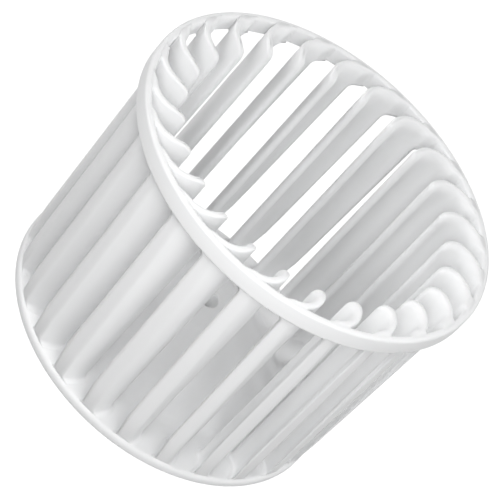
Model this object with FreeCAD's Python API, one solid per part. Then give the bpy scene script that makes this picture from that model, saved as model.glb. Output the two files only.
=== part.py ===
import FreeCAD, Part
import math
import os

from FreeCAD import Vector

# Dryer blower wheel: a squirrel-cage impeller moulded in one piece, in millimetres.
# The axis is +Z, the back plate stands on z = 0 and the open end looks up.

# Ring at the open end, flush with the tops of the blades
wheel_height = 138.5
ring_outer_radius = 98.0
ring_wall = 3.9
ring_height = 9.9
ring_edge_chamfer = 1.0

# Back plate with a turned-down rim, hollow cone and hub
plate_radius = 89.5
plate_height = 5.4
plate_wall = 3.2
rim_wall = 3.4
rim_edge_chamfer = 1.0
cone_foot_radius = 62.0
cone_foot_chamfer = 4.0
cone_wall = 3.2
hub_top_radius = 22.0
hub_top_height = 35.6
hub_top_chamfer = 2.0
boss_radius = 13.5
boss_bottom_height = 3.0

# Shaft bore: a round entry at the back, then a flat that drives the wheel
shaft_radius = 6.35
shaft_clearance = 0.05
shaft_flat_depth = 1.3
flat_clearance = 0.1
round_entry_length = 14.0
bore_edge_chamfer = 0.8
bore_relief = 0.2

# Blades: arcs in plan that hollow out towards the next blade, on a circle round the axis
blade_count = 25
blade_angle = 259.2
blade_depth = 20.6
blade_hollow_radius = 12.1
blade_thickness = 4.5
# how far the blade's crown would pass the ring's bore, and how far its tip stays inside it
crown_overlap = 1.4
tip_setback = 0.6
ring_overlap = 0.5
# the tip is cut on a slant: how far round the axis it lies from the blade's angle
tip_turn_at_ring = 1.5
tip_turn_at_plate = 4.1
shoulder_width = 9.0
shoulder_drop = 9.0
shoulder_lead = 1.0
hollow_top_width = 2.4
hollow_top_drop = 4.5

# Web that carries each blade's tip on into the ring
web_length = 3.6
web_drop = 7.0

# How far a blade runs into the plate and into the ring that carry it
root_depth = 1.5

up = Vector(0, 0, 1)
origin = Vector(0, 0, 0)
ring_bore_radius = ring_outer_radius - ring_wall
ring_bottom = wheel_height - ring_height
blade_foot = plate_height - root_depth
blade_inner_radius = ring_bore_radius - blade_depth
tip_radius = ring_bore_radius - tip_setback
crown_radius = blade_hollow_radius + blade_thickness
blade_axis_radius = ring_bore_radius + crown_overlap - crown_radius
# the shoulder is two slopes that meet on a quarter round, this share of its width in
arc_share = 1 - math.sqrt(0.5)


def polar(radius, degrees, height=0.0):
    turn = math.radians(degrees)
    return Vector(radius * math.cos(turn), radius * math.sin(turn), height)


def point(radius, height):
    return Vector(radius, 0, height)


def line(start, end):
    return Part.LineSegment(start, end).toShape()


def arc(start, middle, end):
    return Part.Arc(start, middle, end).toShape()


def revolve(edges):
    wire = Part.Wire(Part.__sortEdges__(edges))
    return Part.Face(wire).revolve(origin, up, 360)


def outline(corners):
    # closed outline through (radius, height, chamfer) corners
    path = []
    for k, (radius, height, chamfer) in enumerate(corners):
        here = point(radius, height)
        if chamfer > 0:
            before = point(*corners[k - 1][:2]) - here
            after = point(*corners[(k + 1) % len(corners)][:2]) - here
            path += [here + before.normalize() * chamfer, here + after.normalize() * chamfer]
        else:
            path.append(here)
    return [line(a, b) for a, b in zip(path, path[1:] + path[:1])]


def ring():
    return revolve(outline([
        (ring_bore_radius, ring_bottom, 0),
        (ring_outer_radius, ring_bottom, ring_edge_chamfer),
        (ring_outer_radius, wheel_height, ring_edge_chamfer),
        (ring_bore_radius, wheel_height, 0),
    ]))


def back():
    # plate, rim, cone, hub and boss are one wall turned about the axis
    slope = math.atan2(hub_top_height - plate_height, cone_foot_radius - hub_top_radius)
    drop = cone_wall / math.cos(slope)
    plate_bottom = plate_height - plate_wall
    roof_bottom = hub_top_height - cone_wall
    mouth_radius = cone_foot_radius + (plate_wall - drop) / math.tan(slope)
    roof_radius = hub_top_radius + (cone_wall - drop) / math.tan(slope)
    bore = shaft_radius + shaft_clearance
    entry_end = boss_bottom_height + round_entry_length
    return revolve(outline([
        (plate_radius, 0, rim_edge_chamfer),
        (plate_radius, plate_height, 0),
        (cone_foot_radius, plate_height, cone_foot_chamfer),
        (hub_top_radius, hub_top_height, hub_top_chamfer),
        (bore + bore_relief, hub_top_height, bore_edge_chamfer),
        (bore + bore_relief, entry_end, 0),
        (bore, entry_end, 0),
        (bore, boss_bottom_height, bore_edge_chamfer),
        (boss_radius, boss_bottom_height, 0),
        (boss_radius, roof_bottom, 0),
        (roof_radius, roof_bottom, 0),
        (mouth_radius, plate_bottom, 0),
        (plate_radius - rim_wall, plate_bottom, 0),
        (plate_radius - rim_wall, 0, 0),
    ]))


def drive_flat():
    # the chord of plastic in the bore, above the round entry
    start = boss_bottom_height + round_entry_length
    length = hub_top_height - bore_edge_chamfer - start
    wall_radius = (shaft_radius + boss_radius) / 2
    chord = Part.makeBox(2 * wall_radius, wall_radius, length)
    chord.translate(Vector(-wall_radius, shaft_radius - shaft_flat_depth + flat_clearance, start))
    return chord.common(Part.makeCylinder(wall_radius, length, point(0, start)))


def blade_body():
    # the blade's plan runs from its round nose to past the tip, and stands straight up
    center = polar(blade_axis_radius, blade_angle, blade_foot)
    nose_radius = blade_thickness / 2
    nose_path = blade_hollow_radius + nose_radius
    # the nose ends the arc where it touches the blades' inner radius
    reach = blade_inner_radius + nose_radius
    cosine = (blade_axis_radius ** 2 + nose_path ** 2 - reach ** 2) / (2 * blade_axis_radius * nose_path)
    nose = blade_angle + 180 - math.degrees(math.acos(cosine))
    middle = (nose + blade_angle) / 2

    def at(radius, turn):
        return center + polar(radius, turn)

    nose_end = at(nose_path, nose) + polar(nose_radius, nose + 90)
    section = Part.Wire([
        arc(at(blade_hollow_radius, blade_angle), at(blade_hollow_radius, middle), at(blade_hollow_radius, nose)),
        arc(at(blade_hollow_radius, nose), nose_end, at(crown_radius, nose)),
        arc(at(crown_radius, nose), at(crown_radius, middle), at(crown_radius, blade_angle)),
        line(at(crown_radius, blade_angle), at(blade_hollow_radius, blade_angle)),
    ])
    return Part.Face(section).extrude(up * (wheel_height - blade_foot))


def side_envelope():
    # the blades seen from the side: a tapered tip, a flat top and a round shoulder inside
    inner = blade_inner_radius - shoulder_lead
    start = point(inner, wheel_height - shoulder_drop)
    end = point(blade_inner_radius + shoulder_width, wheel_height)
    middle = start + Vector((end.x - start.x) * arc_share, 0, shoulder_drop * (1 - arc_share))
    # the tips lean out from the plate's edge to the ring
    tip_slope = (tip_radius - plate_radius) / (ring_bottom - plate_height)
    seat = ring_bottom + ring_overlap
    corners = [
        middle,
        end,
        point(ring_bore_radius + root_depth, wheel_height),
        point(ring_bore_radius + root_depth, seat),
        point(tip_radius + tip_slope * ring_overlap, seat),
        point(plate_radius - tip_slope * root_depth, blade_foot),
        point(inner, blade_foot),
        start,
    ]
    return revolve([line(a, b) for a, b in zip(corners, corners[1:] + corners[:1])])


def hollow_slope():
    # the cone that slopes the blade's top down into the hollow
    radius = blade_hollow_radius + hollow_top_width
    height = radius * hollow_top_drop / hollow_top_width
    cone = Part.makeCone(0, radius, height, point(0, wheel_height - height)).rotated(origin, up, 180)
    return cone.translated(polar(blade_axis_radius, blade_angle))


def hollow_corner(turn, height):
    # where the hollow face ends at the tip, at an angle past the blade's own
    along = math.radians(turn)
    reach = blade_axis_radius * math.cos(along)
    half_chord = math.sqrt(blade_hollow_radius ** 2 - (blade_axis_radius * math.sin(along)) ** 2)
    return polar(reach + half_chord, blade_angle + turn, height)


def tip_waste():
    # what the slanted cut takes off beyond the tip
    low = hollow_corner(tip_turn_at_plate, blade_foot)
    high = hollow_corner(tip_turn_at_ring, wheel_height)
    outward = polar(1, blade_angle)
    reach = (ring_wall + root_depth) * 2
    face = Part.Face(Part.makePolygon([
        low - outward * reach,
        low + outward * reach,
        high + outward * reach,
        high - outward * reach,
        low - outward * reach,
    ]))
    return face.extrude(polar(blade_hollow_radius, blade_angle - 90))


def web():
    # wedge from the blade's tip on to the ring's bore, slanted underneath
    low = ring_bottom - web_drop
    cut_share = (wheel_height - low) / (wheel_height - blade_foot)
    tip_turn = tip_turn_at_ring + (tip_turn_at_plate - tip_turn_at_ring) * cut_share
    tip = hollow_corner(tip_turn, low)
    end_angle = blade_angle + tip_turn - math.degrees(web_length / ring_bore_radius)
    seat_angle = blade_angle + tip_turn + math.degrees(root_depth / ring_bore_radius)
    plan = Part.Face(Part.makePolygon([
        tip,
        polar(ring_bore_radius, end_angle, low),
        polar(ring_bore_radius + root_depth, end_angle, low),
        polar(ring_bore_radius + root_depth, seat_angle, low),
        tip,
    ]))
    away = polar(1, blade_angle + tip_turn - 90)
    outward = polar(1, blade_angle + tip_turn)
    near = tip - outward * web_length
    far = near + away * web_length + up * web_drop
    top = up * (wheel_height - low)
    side = Part.Face(Part.Wire([
        line(near - away * web_length, near),
        line(near, far),
        line(far, far + up * ring_height),
        line(far + up * ring_height, near - away * web_length + top),
        line(near - away * web_length + top, near - away * web_length),
    ]))
    depth = web_length + ring_wall + blade_thickness
    return plan.extrude(top).common(side.extrude(outward * depth)).common(side_envelope())


def blade():
    shaped = blade_body().common(side_envelope()).cut(hollow_slope()).cut(tip_waste())
    return shaped.Solids[0].fuse(web())


def blower_wheel():
    first = blade()
    blades = []
    for k in range(blade_count):
        blades.append(first.rotated(origin, up, 360 / blade_count * k))
    fused = ring().multiFuse([back(), drive_flat()] + blades)
    # faces that lie in one surface become one face
    return Part.makeCompound([solid.removeSplitter() for solid in fused.Solids])


os.makedirs("parts", exist_ok=True)
wheel = blower_wheel()
print("solids", len(wheel.Solids), "valid", wheel.isValid(), "volume", round(wheel.Volume))
wheel.exportStep("parts/blower_wheel.step")
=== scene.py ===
import math

import bmesh
import bpy
from mathutils import Matrix, Vector


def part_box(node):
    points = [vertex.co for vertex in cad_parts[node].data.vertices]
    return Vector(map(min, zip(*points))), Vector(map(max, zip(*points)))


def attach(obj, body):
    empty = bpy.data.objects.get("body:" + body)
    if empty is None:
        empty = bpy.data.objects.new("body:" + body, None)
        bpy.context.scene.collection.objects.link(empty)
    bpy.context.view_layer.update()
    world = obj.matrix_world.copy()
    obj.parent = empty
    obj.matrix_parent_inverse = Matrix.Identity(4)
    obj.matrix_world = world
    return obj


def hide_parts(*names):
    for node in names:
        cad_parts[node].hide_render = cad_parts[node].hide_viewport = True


# Dryer blower wheel: looks, light and camera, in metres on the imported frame
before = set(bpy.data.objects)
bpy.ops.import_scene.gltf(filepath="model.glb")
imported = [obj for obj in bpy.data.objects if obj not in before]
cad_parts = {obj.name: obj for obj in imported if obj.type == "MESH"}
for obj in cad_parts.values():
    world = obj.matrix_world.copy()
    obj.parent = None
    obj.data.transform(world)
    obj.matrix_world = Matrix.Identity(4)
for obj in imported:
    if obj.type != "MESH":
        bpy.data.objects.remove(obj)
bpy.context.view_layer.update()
cadLow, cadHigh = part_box("blower_wheel")

# Sizes below are in mm; the height and the outer radius come from the frame
mm = 0.001
wheelTop = (cadHigh[2] - cadLow[2]) / mm
wheelRadius = (cadHigh[0] - cadLow[0]) / 2 / mm
turnSteps = 200  # steps in a full turn
weldDistance = 0.001  # points closer than this become one


# Solid of revolution through (radius, height, rounding) corners
def lathe(corners, steps):
    bm = bmesh.new()
    ordered = [bm.verts.new((radius * mm, 0, height * mm)) for radius, height, rounding in corners]
    bm.faces.new(ordered)
    for k, (radius, height, rounding) in enumerate(corners):
        if rounding <= 0:
            continue
        here = Vector((radius, height))
        before = (Vector(corners[k - 1][:2]) - here).normalized()
        after = (Vector(corners[(k + 1) % len(corners)][:2]) - here).normalized()
        reach = rounding / math.tan(before.angle(after) / 2)
        bmesh.ops.bevel(bm, geom=[ordered[k]], offset=reach * mm, segments=steps,
                        affect="VERTICES", profile=0.5, material=-1)
    bmesh.ops.delete(bm, geom=list(bm.faces), context="FACES_ONLY")
    outline = list(bm.verts) + list(bm.edges)
    bmesh.ops.spin(bm, geom=outline, cent=(0, 0, 0), axis=(0, 0, 1), dvec=(0, 0, 0),
                   angle=2 * math.pi, steps=turnSteps, use_merge=True, use_duplicate=False)
    bmesh.ops.remove_doubles(bm, verts=list(bm.verts), dist=weldDistance * mm)
    bmesh.ops.recalc_face_normals(bm, faces=list(bm.faces))
    return bm


# Ring at the open end, with all its edges rounded
ringSizes = {
    "wall": 3.9,
    "height": 9.9,
    "outerRound": 1.4,
    "innerRound": 1.5,
    "lowerRound": 1.0,
    "roundSteps": 6,
}
ringBore = wheelRadius - ringSizes["wall"]
ringBottom = wheelTop - ringSizes["height"]


# How far a value is on its way from low to high, from 0 to 1
def share(value, low, high):
    return min(max((value - low) / (high - low), 0), 1)


# How far a rounded top edge stands in at a depth below the top
def quarterInset(width, depth, below):
    t = 1 - share(below, 0, depth)
    return width * (1 - math.sqrt(1 - t ** 2))


# Radius of the ring's inner face at a height, its top round counted in
def ringFace(height):
    s = ringSizes
    return ringBore + quarterInset(s["innerRound"], s["innerRound"], wheelTop - height)


def ringMesh():
    s = ringSizes
    return lathe([
        (ringBore, ringBottom, s["lowerRound"]),
        (wheelRadius, ringBottom, s["outerRound"]),
        (wheelRadius, wheelTop, s["outerRound"]),
        (ringBore, wheelTop, s["innerRound"]),
    ], s["roundSteps"])


# Back plate with its rim, the hollow cone, and the hub with its bore
backSizes = {
    "plateRadius": 89.5,
    "plateTop": 5.4,
    "plateWall": 3.2,
    "plateRound": 2.4,
    "rimWall": 3.4,
    "rimRound": 1.5,
    "coneFoot": 62.0,
    "coneFootRound": 9.0,
    "coneWall": 3.2,
    "hubRadius": 22.0,
    "hubTop": 35.6,
    "hubRound": 6.0,
    "hubInnerRound": 3.0,
    "bossRadius": 13.5,
    "bossBottom": 3.0,
    "bore": 6.4,
    "boreRelief": 0.2,
    "entryLength": 14.0,
    "flatDistance": 5.15,
    "flatSteps": 96,
    "edgeRound": 0.8,
    "roundSteps": 5,
}


def backMesh():
    s = backSizes
    slope = math.atan2(s["hubTop"] - s["plateTop"], s["coneFoot"] - s["hubRadius"])
    drop = s["coneWall"] / math.cos(slope)
    under = s["plateTop"] - s["plateWall"]
    roof = s["hubTop"] - s["coneWall"]
    mouth = s["coneFoot"] + (s["plateWall"] - drop) / math.tan(slope)
    roofEdge = s["hubRadius"] + (s["coneWall"] - drop) / math.tan(slope)
    rimInside = s["plateRadius"] - s["rimWall"]
    entryEnd = s["bossBottom"] + s["entryLength"]
    edge = s["edgeRound"]
    return lathe([
        (s["plateRadius"], 0, s["rimRound"]),
        (s["plateRadius"], s["plateTop"], s["plateRound"]),
        (s["coneFoot"], s["plateTop"], s["coneFootRound"]),
        (s["hubRadius"], s["hubTop"], s["hubRound"]),
        (s["bore"] + s["boreRelief"], s["hubTop"], edge),
        (s["bore"] + s["boreRelief"], entryEnd, 0),
        (s["bore"], entryEnd, 0),
        (s["bore"], s["bossBottom"], edge),
        (s["bossRadius"], s["bossBottom"], edge),
        (s["bossRadius"], roof, edge),
        (roofEdge, roof, s["hubInnerRound"]),
        (mouth, under, s["coneFootRound"]),
        (rimInside, under, edge),
        (rimInside, 0, s["rimRound"]),
    ], s["roundSteps"])


# Chord of plastic that makes the bore's drive flat
def flatMesh():
    s = backSizes
    low = s["bossBottom"] + s["entryLength"]
    high = s["hubTop"] - s["edgeRound"]
    radius = (s["bore"] + s["bossRadius"]) / 2 * mm
    middle = Matrix.Translation((0, 0, (high + low) / 2 * mm))
    bm = bmesh.new()
    bmesh.ops.create_cone(bm, cap_ends=True, segments=s["flatSteps"], radius1=radius, radius2=radius,
                          depth=(high - low) * mm, matrix=middle)
    plug = list(bm.verts) + list(bm.edges) + list(bm.faces)
    cut = bmesh.ops.bisect_plane(bm, geom=plug, clear_outer=True,
                                 plane_co=(0, s["flatDistance"] * mm, 0), plane_no=(0, -1, 0))
    rim = [item for item in cut["geom_cut"] if isinstance(item, bmesh.types.BMEdge)]
    bmesh.ops.contextual_create(bm, geom=rim)
    bmesh.ops.recalc_face_normals(bm, faces=list(bm.faces))
    return bm


# Blades: crescents in plan that reach from a round nose to a slanted tip
bladeSizes = {
    "count": 25,
    "angle": 259.2,
    "depth": 20.6,
    "hollowRadius": 12.1,
    "thickness": 4.5,
    "crownOverlap": 1.4,
    "tipSetback": 0.6,
    "tipEdge": 0.25,  # least width of the tip's outer end
    "footTuck": 1.6,  # how far the foot stands in over the plate's rounded edge
    "tuckHeight": 5.0,
    "tipTurnAtRing": 1.7,
    "tipTurnAtPlate": 3.7,
    "shoulderWidth": 9.0,
    "shoulderDrop": 9.0,
    "shoulderLead": 1.0,
    "hollowTopWidth": 2.4,
    "hollowTopDrop": 5.0,
    "crownTopRound": 1.3,
    "webLength": 6.4,
    "webDrop": 6.0,
    "webCurve": 1.7,
    "footRound": 2.4,
    "footSteps": 6,
    "bodySteps": 8,
    "webSteps": 7,
    "topSteps": 16,
    "bendBelow": 4.0,  # the layers bend to the shoulder from this far below the web
    "rootDepth": 1.5,
    "footDepth": 1.6,
    "ringSeat": 0.4,
    "rootGrip": 0.15,  # least depth of the root behind the web's end
    "topSink": 0.03,  # how far the blades' tops stay under the ring's
    "graze": 0.04,  # how far the web's end runs into the ring's face
    "hollowPoints": 20,
    "nosePoints": 9,
    "crownPoints": 18,
    "outerPoints": 4,
    "tipPoints": 10,
}
bladeInner = ringBore - bladeSizes["depth"]
bladeCrown = bladeSizes["hollowRadius"] + bladeSizes["thickness"]
bladeAxis = ringBore + bladeSizes["crownOverlap"] - bladeCrown


# Point in plan at a radius and an angle
def along(radius, degrees):
    return Vector((math.cos(math.radians(degrees)), math.sin(math.radians(degrees)))) * radius


# Turn about the blade's own axis at which an arc lies at a distance from the wheel's axis
def turnWhere(arc, reach):
    return math.degrees(math.acos((reach ** 2 - bladeAxis ** 2 - arc ** 2) / (2 * bladeAxis * arc)))


# S-curve from 0 to 1 with flat ends
def ease(t):
    return t * t * (3 - 2 * t)


# One closed line round the blade in plan, with the wheel's axis at the origin and the blade towards +X
def bladeLoop(height, hollowInset, crownInset, spread):
    s = bladeSizes
    hollowArc = s["hollowRadius"] + hollowInset - spread
    crownArc = bladeCrown - crownInset + spread
    nosePath = s["hollowRadius"] + s["thickness"] / 2
    nose = turnWhere(nosePath, bladeInner + s["thickness"] / 2)
    center = Vector((bladeAxis, 0))
    inRing = height > ringBottom
    plateTop = backSizes["plateTop"]
    plateRadius = backSizes["plateRadius"]
    # tips lean out from the plate to the ring, and the foot is tucked in over the plate's round
    lean = (height - plateTop) / (ringBottom - plateTop)
    outer = plateRadius + (ringBore - s["tipSetback"] - plateRadius) * min(lean, 1)
    outer -= s["footTuck"] * (1 - share(height, plateTop, plateTop + s["tuckHeight"])) ** 2
    # the hollow's corner lies where the slanted tip cuts the hollow, and never past the outer end
    slant = (wheelTop - height) / (wheelTop - plateTop)
    tipTurn = s["tipTurnAtRing"] + (s["tipTurnAtPlate"] - s["tipTurnAtRing"]) * slant
    turn = math.radians(tipTurn)
    cornerReach = bladeAxis * math.cos(turn) + math.sqrt(hollowArc ** 2 - (bladeAxis * math.sin(turn)) ** 2)
    if cornerReach > outer - s["tipEdge"]:
        cornerReach = outer - s["tipEdge"]
        cosine = (bladeAxis ** 2 + cornerReach ** 2 - hollowArc ** 2) / (2 * bladeAxis * cornerReach)
        tipTurn = math.degrees(math.acos(cosine))
    # from that corner the web swings out to the ring's bore, and inside the ring into its wall
    webShare = share(height, ringBottom - s["webDrop"], ringBottom)
    web = s["webLength"] * webShare ** s["webCurve"]
    tipReach = ringFace(height) + s["graze"] if inRing else outer
    rootReach = max(ringBore + s["rootDepth"], tipReach + s["rootGrip"]) if inRing else outer
    points = []
    # the hollow, from the tip to the nose
    cornerAngle = turnWhere(hollowArc, cornerReach)
    n = s["hollowPoints"]
    for k in range(n):
        points.append(center + along(hollowArc, cornerAngle + (nose - cornerAngle) * k / (n - 1)))
    # the round nose
    n = s["nosePoints"]
    noseCenter = center + along((hollowArc + crownArc) / 2, nose)
    for k in range(1, n):
        points.append(noseCenter + along((crownArc - hollowArc) / 2, nose + 180 - 180 * k / n))
    # the crown, from the nose back to the tip
    n = s["crownPoints"]
    crownEnd = turnWhere(crownArc, min(outer, bladeAxis + crownArc - s["tipSetback"] / 2))
    for k in range(n):
        points.append(center + along(crownArc, nose + (crownEnd - nose) * k / (n - 1)))
    startTurn = math.degrees(math.atan2(points[-1].y, points[-1].x))
    endTurn = tipTurn - math.degrees(web / ringBore)
    # the outer end, which is the root inside the ring
    n = s["outerPoints"]
    if inRing:
        points[-1] = along(rootReach, startTurn)
    for k in range(1, n + 1):
        points.append(along(rootReach, startTurn + (endTurn - startTurn) * k / n))
    # the slanted tip or the web, back to the hollow's corner
    n = s["tipPoints"]
    for k in range(1, n):
        t = (n - k) / (n - webShare)
        swing = t + (ease(t) - t) * webShare
        reach = cornerReach + (tipReach - cornerReach) * swing
        points.append(along(reach, tipTurn + (endTurn - tipTurn) * t))
    return points


# Height of the blades' top at a distance from the wheel's axis
def shoulderTop(reach):
    s = bladeSizes
    start = bladeInner - s["shoulderLead"]
    width = s["shoulderWidth"] + s["shoulderLead"]
    t = share(start + width - reach, 0, width)
    return wheelTop - s["topSink"] - s["shoulderDrop"] * (1 - math.sqrt(1 - t ** 2))


# Heights of the blade's layers with their insets: flare at the foot, body, web, rounded top
def bladeLayers():
    s = bladeSizes
    plateTop = backSizes["plateTop"]
    foot = s["footRound"]
    webBottom = ringBottom - s["webDrop"]
    top = wheelTop - s["topSink"]
    layers = [(plateTop - s["footDepth"], 0, 0, foot)]
    for k in range(s["footSteps"] + 1):
        turn = math.pi / 2 * k / s["footSteps"]
        layers.append((plateTop + foot * (1 - math.cos(turn)), 0, 0, foot * (1 - math.sin(turn))))
    for k in range(1, s["bodySteps"] + 1):
        layers.append((plateTop + foot + (webBottom - plateTop - foot) * k / s["bodySteps"], 0, 0, 0))
    for k in range(1, s["webSteps"] + 1):
        layers.append((webBottom + s["webDrop"] * k / s["webSteps"], 0, 0, 0))
    layers.append((ringBottom + s["ringSeat"], 0, 0, 0))
    seat = top - ringBottom - 2 * s["ringSeat"]
    for k in range(s["topSteps"] + 1):
        below = seat * (1 - k / s["topSteps"]) ** 2
        layers.append((top - below, quarterInset(s["hollowTopWidth"], s["hollowTopDrop"], below),
                       quarterInset(s["crownTopRound"], s["crownTopRound"], below), 0))
    return layers


# One blade, drawn up layer by layer from a loop of points
def bladeMesh():
    s = bladeSizes
    top = wheelTop - s["topSink"]
    bend = ringBottom - s["webDrop"] - s["bendBelow"]
    bm = bmesh.new()
    count = len(bladeLoop(wheelTop / 2, 0, 0, 0))
    bmesh.ops.create_circle(bm, cap_ends=True, segments=count, radius=mm)
    loop = list(bm.verts)
    for index, (height, hollowInset, crownInset, spread) in enumerate(bladeLayers()):
        if index > 0:
            edges = [bm.edges.get((loop[k - 1], loop[k])) for k in range(count)]
            made = bmesh.ops.extrude_edge_only(bm, edges=edges)["geom"]
            fresh = {item for item in made if isinstance(item, bmesh.types.BMVert)}
            loop = [next(e.other_vert(v) for e in v.link_edges if e.other_vert(v) in fresh) for v in loop]
        for vert, place in zip(loop, bladeLoop(height, hollowInset, crownInset, spread)):
            rise = height
            if height > bend:
                rise = bend + (shoulderTop(place.length) - bend) * (height - bend) / (top - bend)
            vert.co = (place.x * mm, place.y * mm, rise * mm)
    bmesh.ops.contextual_create(bm, geom=[bm.edges.get((loop[k - 1], loop[k])) for k in range(count)])
    bmesh.ops.recalc_face_normals(bm, faces=list(bm.faces))
    turned = Matrix.Rotation(math.radians(s["angle"]), 3, "Z")
    bmesh.ops.rotate(bm, verts=list(bm.verts), cent=(0, 0, 0), matrix=turned)
    return bm


# The whole moulding as one piece
def wheelObject():
    target = bpy.data.meshes.new("moulded_wheel")
    whole = bmesh.new()
    for part in (ringMesh(), backMesh(), flatMesh()):
        part.to_mesh(target)
        part.free()
        whole.from_mesh(target)
    blade = bladeMesh()
    pitch = Matrix.Rotation(2 * math.pi / bladeSizes["count"], 3, "Z")
    for k in range(bladeSizes["count"]):
        blade.to_mesh(target)
        whole.from_mesh(target)
        bmesh.ops.rotate(blade, verts=list(blade.verts), cent=(0, 0, 0), matrix=pitch)
    blade.free()
    for face in whole.faces:
        face.smooth = True
    whole.to_mesh(target)
    whole.free()
    piece = bpy.data.objects.new("moulded_wheel", target)
    bpy.context.scene.collection.objects.link(piece)
    print("wheel", len(target.polygons), "faces")
    return piece


def newMaterial(name):
    material = bpy.data.materials.new(name)
    material.use_nodes = True
    material.node_tree.nodes.clear()
    return material, material.node_tree.nodes, material.node_tree.links


# White moulded plastic: faint cloudiness, uneven gloss, fine mould texture and softened seams
plastic = {
    "light": (0.90, 0.903, 0.905, 1),
    "dark": (0.875, 0.878, 0.882, 1),
    "cloudScale": 38.0,
    "cloudDetail": 3,
    "roughLow": 0.46,
    "roughHigh": 0.6,
    "glossScale": 120.0,
    "glossDetail": 2,
    "grainScale": 1400.0,
    "grainDetail": 2,
    "grainStrength": 0.12,
    "grainDistance": 0.00006,
    "seamRound": 0.0006,
    "seamSamples": 4,
    "specular": 0.35,
}


def noiseNode(nodes, links, coordinates, scale, detail):
    noise = nodes.new("ShaderNodeTexNoise")
    noise.inputs["Scale"].default_value = scale
    noise.inputs["Detail"].default_value = detail
    links.new(coordinates.outputs["Object"], noise.inputs["Vector"])
    return noise.outputs["Fac"]


def whitePlastic():
    material, nodes, links = newMaterial("whitePlastic")
    shader = nodes.new("ShaderNodeBsdfPrincipled")
    shader.inputs["Specular IOR Level"].default_value = plastic["specular"]
    coordinates = nodes.new("ShaderNodeTexCoord")
    tint = nodes.new("ShaderNodeMix")
    tint.data_type = "RGBA"
    tint.inputs["A"].default_value = plastic["dark"]
    tint.inputs["B"].default_value = plastic["light"]
    cloud = noiseNode(nodes, links, coordinates, plastic["cloudScale"], plastic["cloudDetail"])
    links.new(cloud, tint.inputs["Factor"])
    links.new(tint.outputs["Result"], shader.inputs["Base Color"])
    gloss = nodes.new("ShaderNodeMapRange")
    gloss.inputs["To Min"].default_value = plastic["roughLow"]
    gloss.inputs["To Max"].default_value = plastic["roughHigh"]
    patches = noiseNode(nodes, links, coordinates, plastic["glossScale"], plastic["glossDetail"])
    links.new(patches, gloss.inputs["Value"])
    links.new(gloss.outputs["Result"], shader.inputs["Roughness"])
    seams = nodes.new("ShaderNodeBevel")
    seams.samples = plastic["seamSamples"]
    seams.inputs["Radius"].default_value = plastic["seamRound"]
    grain = nodes.new("ShaderNodeBump")
    grain.inputs["Strength"].default_value = plastic["grainStrength"]
    grain.inputs["Distance"].default_value = plastic["grainDistance"]
    grit = noiseNode(nodes, links, coordinates, plastic["grainScale"], plastic["grainDetail"])
    links.new(grit, grain.inputs["Height"])
    links.new(seams.outputs["Normal"], grain.inputs["Normal"])
    links.new(grain.outputs["Normal"], shader.inputs["Normal"])
    output = nodes.new("ShaderNodeOutputMaterial")
    links.new(shader.outputs["BSDF"], output.inputs["Surface"])
    return material


wheel = wheelObject()
wheel.data.materials.append(whitePlastic())
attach(wheel, "root")
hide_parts("blower_wheel")


# Pale floor and sky, bright to the camera, that still take the wheel's shadow
studio = {
    "floorSize": 6.0,
    "floorColor": (0.3, 0.3, 0.3, 1),
    "floorGlow": 0.93,
    "skyLight": 0.13,
    "skyColor": (0.98, 0.99, 1.0, 1),
    "backdrop": (1, 1, 1, 1),
}


# 1 for rays from the camera, reflections and clear parts, 0 for light on the object
def brightRay(nodes, links):
    path = nodes.new("ShaderNodeLightPath")
    first = nodes.new("ShaderNodeMath")
    first.operation = "MAXIMUM"
    links.new(path.outputs["Is Camera Ray"], first.inputs[0])
    links.new(path.outputs["Is Glossy Ray"], first.inputs[1])
    second = nodes.new("ShaderNodeMath")
    second.operation = "MAXIMUM"
    links.new(first.outputs[0], second.inputs[0])
    links.new(path.outputs["Is Transmission Ray"], second.inputs[1])
    return second.outputs[0]


def addFloor():
    bm = bmesh.new()
    bmesh.ops.create_grid(bm, x_segments=1, y_segments=1, size=studio["floorSize"] / 2)
    mesh = bpy.data.meshes.new("floor")
    bm.to_mesh(mesh)
    bm.free()
    floor = bpy.data.objects.new("floor", mesh)
    bpy.context.scene.collection.objects.link(floor)
    material, nodes, links = newMaterial("paleFloor")
    diffuse = nodes.new("ShaderNodeBsdfDiffuse")
    diffuse.inputs["Color"].default_value = studio["floorColor"]
    glow = nodes.new("ShaderNodeEmission")
    level = nodes.new("ShaderNodeMath")
    level.operation = "MULTIPLY"
    level.inputs[1].default_value = studio["floorGlow"]
    links.new(brightRay(nodes, links), level.inputs[0])
    links.new(level.outputs[0], glow.inputs["Strength"])
    both = nodes.new("ShaderNodeAddShader")
    links.new(diffuse.outputs[0], both.inputs[0])
    links.new(glow.outputs[0], both.inputs[1])
    output = nodes.new("ShaderNodeOutputMaterial")
    links.new(both.outputs[0], output.inputs["Surface"])
    mesh.materials.append(material)


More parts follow.
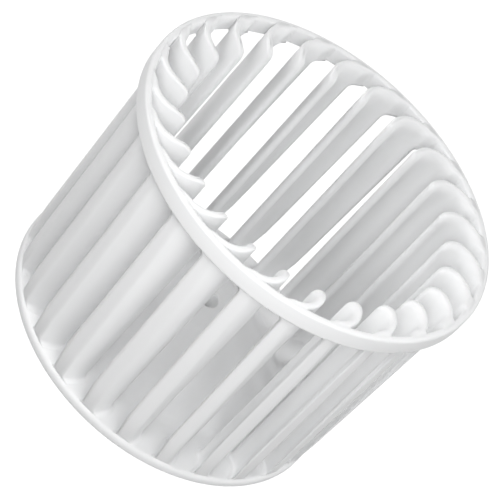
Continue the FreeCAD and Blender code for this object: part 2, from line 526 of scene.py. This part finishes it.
def addSky():
    world = bpy.data.worlds.new("studio")
    world.use_nodes = True
    nodes = world.node_tree.nodes
    links = world.node_tree.links
    nodes.clear()
    lit = nodes.new("ShaderNodeBackground")
    lit.inputs["Color"].default_value = studio["skyColor"]
    lit.inputs["Strength"].default_value = studio["skyLight"]
    seen = nodes.new("ShaderNodeBackground")
    seen.inputs["Color"].default_value = studio["backdrop"]
    mix = nodes.new("ShaderNodeMixShader")
    links.new(brightRay(nodes, links), mix.inputs[0])
    links.new(lit.outputs[0], mix.inputs[1])
    links.new(seen.outputs[0], mix.inputs[2])
    output = nodes.new("ShaderNodeOutputWorld")
    links.new(mix.outputs[0], output.inputs["Surface"])
    bpy.context.scene.world = world


# Soft boxes, each with its place, size and power; all look at the wheel's middle
lamps = {
    "front": {"place": (0.0, -1.1, 0.95), "size": 0.6, "power": 4.0},
    "near": {"place": (0.0, -0.36, 0.38), "size": 0.3, "power": 0.88},
    "rightLow": {"place": (0.65, -0.65, 0.25), "size": 0.6, "power": 2.4},
    "left": {"place": (-1.4, 0.0, 0.8), "size": 0.9, "power": 10.8},
    "back": {"place": (0.9, 0.9, 1.1), "size": 0.9, "power": 10.4},
}


def addLamps():
    middle = Vector((0, 0, wheelTop / 2 * mm))
    for name, lamp in lamps.items():
        light = bpy.data.lights.new(name, "AREA")
        light.shape = "SQUARE"
        light.size = lamp["size"]
        light.energy = lamp["power"]
        holder = bpy.data.objects.new(name, light)
        place = Vector(lamp["place"])
        holder.location = place
        holder.rotation_euler = (middle - place).to_track_quat("-Z", "Y").to_euler()
        holder.visible_camera = False
        bpy.context.scene.collection.objects.link(holder)


# Camera: looks down on the standing wheel, rolled so that the wheel leans to the right
view = {
    "aim": (0.00004, -0.0002, 0.07494),
    "distance": 1.369,
    "lookDown": 37.205,
    "roll": 42.885,
    "lens": 202.1,
    "sensor": 36.0,
    "farEnd": 20.0,
}


def addCamera():
    data = bpy.data.cameras.new("camera")
    data.lens = view["lens"]
    data.sensor_width = view["sensor"]
    data.clip_end = view["farEnd"]
    camera = bpy.data.objects.new("camera", data)
    bpy.context.scene.collection.objects.link(camera)
    tilt = Matrix.Rotation(math.radians(90 - view["lookDown"]), 4, "X")
    roll = Matrix.Rotation(math.radians(view["roll"]), 4, "Z")
    back = Matrix.Translation((0, 0, view["distance"]))
    camera.matrix_world = Matrix.Translation(Vector(view["aim"])) @ tilt @ back @ roll
    bpy.context.scene.camera = camera


addFloor()
addSky()
addLamps()
addCamera()
bpy.context.scene.view_settings.view_transform = "Standard"
print("stage, lamps and camera set")
